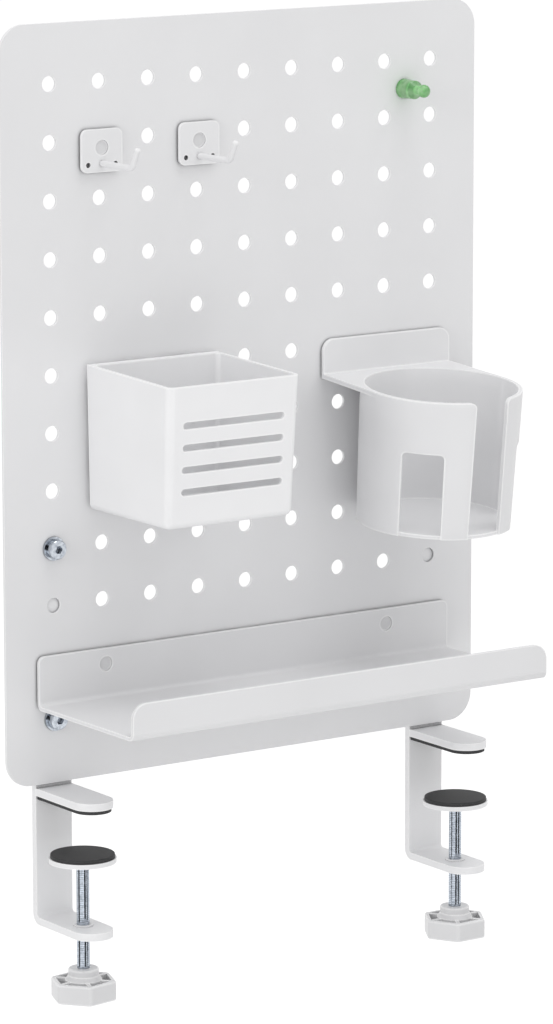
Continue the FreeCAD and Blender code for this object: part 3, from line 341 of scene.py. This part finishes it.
pin_plastic = green_plastic("pin_plastic")
print("Pin finish:", pin_plastic.name)

# %% [markdown]
# Each CAD node now gets its finish. The record names a material slot for every node, so the
# finishes above are named after the slots, and one loop hands them out.

# %% Dress the CAD nodes
slot_of = {part["node"]: part["material_slot"] for part in frame["record"]["subparts"]}
for name, node in nodes.items():
    for place in node.material_slots:
        place.material = bpy.data.materials[slot_of[name]]
print("Dressed nodes:", len(slot_of))

# %% [markdown]
# No real edge is a perfect corner: paint rounds the steel and a mould rounds the plastic. The CAD
# meshes are loose triangles, so a Weld modifier joins them first and a Bevel modifier then rounds
# every sharp edge by a fraction of a millimetre. Where a flat wall is cut into long thin triangles,
# the rounding would fold one over, so a Decimate modifier merges the flat ones in between. All
# three stay live, so the CAD meshes are untouched.

# %% Round the edges
WELD_REACH = 0.0005 * MM
FLAT_ANGLE = math.radians(0.3)
SHARP_ANGLE = math.radians(40)
MERGED_WALLS = ("peg_panel", "pen_bin")
SOFT_EDGES = {
    "peg_panel": 0.35,
    "tool_shelf": 0.5,
    "pen_bin": 0.45,
    "cup_holder": 0.5,
    "left_upper_jaw": 0.8,
    "right_upper_jaw": 0.8,
    "left_clamp_bracket": 0.6,
    "right_clamp_bracket": 0.6,
    "left_hook_plate": 0.3,
    "right_hook_plate": 0.3,
}


def soften(name, radius):
    """Round the sharp edges of a CAD node with live modifiers."""
    node = nodes[name]
    weld = node.modifiers.new("weld", "WELD")
    weld.merge_threshold = WELD_REACH
    if name in MERGED_WALLS:
        merge = node.modifiers.new("merged_walls", "DECIMATE")
        merge.decimate_type = "DISSOLVE"
        merge.angle_limit = FLAT_ANGLE
    bevel = node.modifiers.new("soft_edges", "BEVEL")
    bevel.width = radius
    bevel.segments = 2
    bevel.limit_method = "ANGLE"
    bevel.angle_limit = SHARP_ANGLE


for name, radius in SOFT_EDGES.items():
    soften(name, radius * MM)
print("Softened nodes:", len(SOFT_EDGES))

# %% [markdown]
# The two clamp screws are rolled threads with a pitch of one millimetre, which is why a full turn
# lifts the foot by one millimetre. The CAD screw is a plain rod as thick as the thread's crests.
# Here each screw is turned again at the thread's root, like work on a lathe: a circle is extruded
# upwards step by step and widened or narrowed as it goes. Spinning a profile would do as well, but
# extruding keeps every height exact.

# %% Turned parts
TURNED_SIDES = 48


def deselect_all():
    """Leave edit mode if need be and select nothing."""
    if bpy.context.object and bpy.context.object.mode != "OBJECT":
        bpy.ops.object.mode_set(mode="OBJECT")
    bpy.ops.object.select_all(action="DESELECT")


def turn_normals_out():
    """Make all faces of the object in edit mode look outwards, and leave edit mode."""
    bpy.ops.mesh.select_all(action="SELECT")
    bpy.ops.mesh.normals_make_consistent(inside=False)
    bpy.ops.object.mode_set(mode="OBJECT")


def turn_up(name, centre, steps):
    """A solid turned about an upright axis: steps are (radius, height) from the bottom up."""
    deselect_all()
    radius, height = steps[0]
    bpy.ops.mesh.primitive_circle_add(
        vertices=TURNED_SIDES, radius=radius, fill_type="NGON", location=(*centre, height)
    )
    turned = bpy.context.object
    turned.name = name
    bpy.ops.object.transform_apply(location=True, rotation=False, scale=False)
    bpy.ops.object.mode_set(mode="EDIT")
    bpy.ops.mesh.select_all(action="SELECT")
    for next_radius, next_height in steps[1:]:
        bpy.ops.mesh.extrude_region_move(
            TRANSFORM_OT_translate={"value": (0, 0, next_height - height)}
        )
        ratio = next_radius / radius
        middle = (*centre, next_height)
        bpy.ops.transform.resize(value=(ratio, ratio, 1), center_override=middle)
        radius, height = next_radius, next_height
    turn_normals_out()
    return turned


print("Turning helpers ready")

# %% [markdown]
# A thread could be cut out of the rod, but a ridge laid round a thinner core is simpler and gives
# clean faces. A plane is set where the tooth is, and its outer side is narrowed to a flat crest
# with steep flanks. Its outline alone is kept, and the Screw modifier sweeps it upwards as it goes
# round. The tooth's foot sinks a little into the core, so no gap can show.

# %% Thread ridge
THREAD_PITCH = 1.0 * MM
THREAD_DEPTH = 0.2 * MM
SCREW_RADIUS = 3.4 * MM
ROOT_RADIUS = SCREW_RADIUS - THREAD_DEPTH
FOOT_RADIUS = ROOT_RADIUS - 0.12 * MM
FOOT_WIDTH = 0.94 * THREAD_PITCH
CREST_WIDTH = 0.68 * THREAD_PITCH
TURN_STEPS = 28


def wind_ridge(name, centre, bottom, top):
    """A helical ridge between two heights, closed at both ends."""
    deselect_all()
    middle = (FOOT_RADIUS + SCREW_RADIUS) / 2
    bpy.ops.mesh.primitive_plane_add(
        size=1, location=(middle, 0, 0), rotation=(math.radians(90), 0, 0)
    )
    ridge = bpy.context.object
    ridge.name = name
    ridge.scale = (SCREW_RADIUS - FOOT_RADIUS, FOOT_WIDTH, 1)
    bpy.ops.object.transform_apply(location=True, rotation=True, scale=True)
    bpy.ops.object.mode_set(mode="EDIT")
    bpy.ops.mesh.delete(type="ONLY_FACE")
    bpy.ops.mesh.select_all(action="DESELECT")
    bpy.ops.object.mode_set(mode="OBJECT")
    for vertex in ridge.data.vertices:
        vertex.select = vertex.co.x > middle
    bpy.ops.object.mode_set(mode="EDIT")
    narrowing = (1, 1, CREST_WIDTH / FOOT_WIDTH)
    bpy.ops.transform.resize(value=narrowing, center_override=(SCREW_RADIUS, 0, 0))
    bpy.ops.object.mode_set(mode="OBJECT")
    winding = ridge.modifiers.new("winding", "SCREW")
    winding.axis = "Z"
    winding.angle = math.radians(360)
    winding.screw_offset = THREAD_PITCH
    winding.iterations = int((top - bottom) / THREAD_PITCH)
    winding.steps = TURN_STEPS
    winding.render_steps = TURN_STEPS
    winding.use_smooth_shade = False
    bpy.ops.object.modifier_apply(modifier=winding.name)
    bpy.ops.object.mode_set(mode="EDIT")
    bpy.ops.mesh.select_all(action="SELECT")
    bpy.ops.mesh.fill_holes(sides=0)
    turn_normals_out()
    ridge.location = (*centre, bottom)
    bpy.ops.object.transform_apply(location=True, rotation=False, scale=False)
    return ridge


print("Thread: pitch", THREAD_PITCH / MM, "mm, root radius", round(ROOT_RADIUS / MM, 2), "mm")

# %% [markdown]
# Each screw starts inside its knob and ends in a shoulder. A neck goes through the foot, and a
# riveted head holds the foot on it. The new screw takes the CAD screw's place, rides on the same
# body and uses the same slot.

# %% Threaded clamp screws
SHOULDER_RADIUS = SCREW_RADIUS - 0.4 * MM
SHOULDER_TAPER = 0.3 * MM
SHOULDER_DROP = 4.2 * MM
NECK_RADIUS = 2.5 * MM
RIVET_RADIUS = 4 * MM
RIVET_THICK = 1.2 * MM
RIVET_FOOT = 0.2 * MM
RIVET_CROWN = 0.3 * MM
KNOB_GRIP = 8 * MM
PLAIN_TIP = 1.2 * MM
CREASE_ANGLE = math.radians(30)

for side in ("left", "right"):
    low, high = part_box(side + "_clamp_screw")
    knob_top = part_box(side + "_clamp_knob")[1].z
    centre = ((low.x + high.x) / 2, (low.y + high.y) / 2)
    shoulder = high.z - SHOULDER_DROP
    rivet = high.z - RIVET_THICK
    steps = [
        (ROOT_RADIUS, low.z),
        (ROOT_RADIUS, shoulder - 2 * SHOULDER_TAPER),
        (SHOULDER_RADIUS, shoulder - SHOULDER_TAPER),
        (SHOULDER_RADIUS, shoulder),
        (NECK_RADIUS, shoulder),
        (NECK_RADIUS, rivet),
        (RIVET_RADIUS - RIVET_FOOT, rivet),
        (RIVET_RADIUS, rivet + RIVET_FOOT),
        (RIVET_RADIUS, high.z - RIVET_CROWN),
        (RIVET_RADIUS - RIVET_CROWN, high.z),
    ]
    core = turn_up(side + "_threaded_screw", centre, steps)
    ridge = wind_ridge(side + "_ridge", centre, knob_top - KNOB_GRIP, shoulder - PLAIN_TIP)
    deselect_all()
    ridge.select_set(True)
    core.select_set(True)
    bpy.context.view_layer.objects.active = core
    bpy.ops.object.join()
    bpy.ops.object.shade_smooth_by_angle(angle=CREASE_ANGLE)
    core.data.materials.clear()
    core.data.materials.append(screw_zinc)
    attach(core, side + "_screw")
    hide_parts(side + "_clamp_screw")
    print(core.name, "has", len(core.data.polygons), "faces")

# %% [markdown]
# The floor and the world are only a stage. What the camera, a mirror or a glass sees of them is
# white paper, while everything else receives only their plain, weaker light. A Light Path node
# tells the two apart.

# %% Floor
FLOOR_HEIGHT = -0.32
FLOOR_SIZE = 24
PAPER_COLOUR = (0.85, 0.85, 0.85, 1)
PAPER_GLOW = 0.35


def seen_share(tree):
    """A factor that is 1 where a camera, a mirror or a glass looks, and 0 for other light."""
    path = tree.nodes.new("ShaderNodeLightPath")
    share = path.outputs["Is Camera Ray"]
    for ray in ("Is Glossy Ray", "Is Transmission Ray"):
        either = tree.nodes.new("ShaderNodeMath")
        either.operation = "MAXIMUM"
        tree.links.new(share, either.inputs[0])
        tree.links.new(path.outputs[ray], either.inputs[1])
        share = either.outputs["Value"]
    return share


def paper_white(name):
    """White paper that keeps its shadows but looks a little brighter where it is seen."""
    finish = bpy.data.materials.new(name)
    finish.use_nodes = True
    tree = finish.node_tree
    tree.nodes.clear()
    output = tree.nodes.new("ShaderNodeOutputMaterial")
    paper = tree.nodes.new("ShaderNodeBsdfDiffuse")
    paper.inputs["Color"].default_value = PAPER_COLOUR
    glow = tree.nodes.new("ShaderNodeEmission")
    strength = map_range(tree, seen_share(tree), (0, 1), (0, PAPER_GLOW))
    tree.links.new(strength, glow.inputs["Strength"])
    both = tree.nodes.new("ShaderNodeAddShader")
    tree.links.new(paper.outputs["BSDF"], both.inputs[0])
    tree.links.new(glow.outputs["Emission"], both.inputs[1])
    tree.links.new(both.outputs["Shader"], output.inputs["Surface"])
    return finish


deselect_all()
bpy.ops.mesh.primitive_plane_add(size=FLOOR_SIZE, location=(0, 0, FLOOR_HEIGHT))
floor = bpy.context.object
floor.name = "floor"
floor.data.materials.append(paper_white("paper_white"))
print("Floor at", round(floor.location.z, 3), "m")

# %% [markdown]
# The world is the studio's wall of soft light, seen as white and a fifth weaker as a light. The
# Standard view transform keeps the whites as they are.

# %% World
WALL_LIGHT = (0.80, 1.0)

world = bpy.data.worlds.new("studio")
bpy.context.scene.world = world
world.use_nodes = True
sky = world.node_tree
backdrop = sky.nodes["Background"]
backdrop.inputs["Color"].default_value = (1, 1, 1, 1)
sky_level = map_range(sky, seen_share(sky), (0, 1), WALL_LIGHT)
sky.links.new(sky_level, backdrop.inputs["Strength"])
bpy.context.scene.view_settings.view_transform = "Standard"
print("World level:", WALL_LIGHT[0])

# %% [markdown]
# Most of the light is the studio's white wall, which darkens only where pieces stand close
# together. A large lamp on the left brightens the faces that look that way, one overhead reaches
# into the bin and the cup, a small one high on the right gives shadows a direction, and a weak one
# low in front does what a white table does: it lifts the clamps and the board's lower half.

# %% Lamps
BOARD_MIDDLE = (0, 0, 0.16)
# Each lamp's place, the length of its sides in metres and its power in watts
LAMPS = {
    "left_lamp": ((-2.6, -0.6, 0.9), 1.2, 10),
    "high_lamp": ((1.2, -1.0, 2.0), 0.6, 3),
    "top_lamp": ((0.1, -0.7, 2.4), 1.0, 9),
    "low_lamp": ((-0.3, -1.1, -0.15), 0.8, 1.2),
}


def soft_lamp(name, spot, size, power):
    """A square area lamp at spot that points at the middle of the board."""
    data = bpy.data.lights.new(name, "AREA")
    data.shape = "SQUARE"
    data.size = size
    data.energy = power
    lamp = bpy.data.objects.new(name, data)
    bpy.context.collection.objects.link(lamp)
    lamp.location = spot
    aim = Vector(BOARD_MIDDLE) - Vector(spot)
    lamp.rotation_euler = aim.to_track_quat("-Z", "Y").to_euler()


for name, (spot, size, power) in LAMPS.items():
    soft_lamp(name, spot, size, power)
print("Lamps:", list(LAMPS))

# %% [markdown]
# Polished metal only looks like metal when it has something dark to mirror. Studios stand black
# cards round a shiny thing for this. The tall cards are for the bolts and washers. The low ones
# stand close by, because the clamp screws mirror what is near the floor, and they draw the dark
# lines down those screws. Only mirror and glass rays see the cards, so they take no light from the
# paint.

# %% Black cards
CARD_FOOT = -0.3
# Each card's angle in degrees, its width and height, and its distance from the middle in metres
CARDS = {
    "left_card": (-137, 0.75, 1.8, 1.7),
    "middle_card": (-36, 0.4, 1.8, 1.7),
    "right_card": (67, 0.75, 1.8, 1.7),
    "low_left_card": (-102, 0.31, 0.16, 0.7),
    "low_middle_card": (-6, 0.4, 0.16, 0.7),
    "low_right_card": (41, 0.31, 0.16, 0.7),
}
black_felt, _, felt = start_finish("black_felt")
felt.inputs["Base Color"].default_value = (0, 0, 0, 1)
felt.inputs["Specular IOR Level"].default_value = 0


def black_card(name, angle, width, height, reach):
    """A standing black card at an angle round the object, seen only in reflections and through
    glass.
    """
    deselect_all()
    spot = (reach * math.sin(angle), -reach * math.cos(angle), CARD_FOOT + height / 2)
    bpy.ops.mesh.primitive_plane_add(size=1, location=spot, rotation=(math.radians(90), 0, angle))
    card = bpy.context.object
    card.name = name
    card.scale = (width, height, 1)
    card.data.materials.append(black_felt)
    card.visible_camera = False
    card.visible_diffuse = False
    card.visible_shadow = False


for name, (angle, width, height, reach) in CARDS.items():
    black_card(name, math.radians(angle), width, height, reach)
print("Cards:", list(CARDS))

# %% [markdown]
# A long lens far away keeps the rows of holes nearly parallel and shows every piece in one view.

# %% Camera
CAMERA_PLACE = (-1.4973, -2.2018, 0.6312)
CAMERA_TURN = (79.509, 0.065, -34.603)
SENSOR_HEIGHT = 36
LENS = 179.9

camera_data = bpy.data.cameras.new("catalogue_camera")
camera_data.sensor_fit = "VERTICAL"
camera_data.sensor_height = SENSOR_HEIGHT
camera_data.lens = LENS
camera = bpy.data.objects.new("catalogue_camera", camera_data)
bpy.context.collection.objects.link(camera)
camera.location = CAMERA_PLACE
camera.rotation_euler = [math.radians(angle) for angle in CAMERA_TURN]
bpy.context.scene.camera = camera
print("Camera lens:", LENS, "mm")
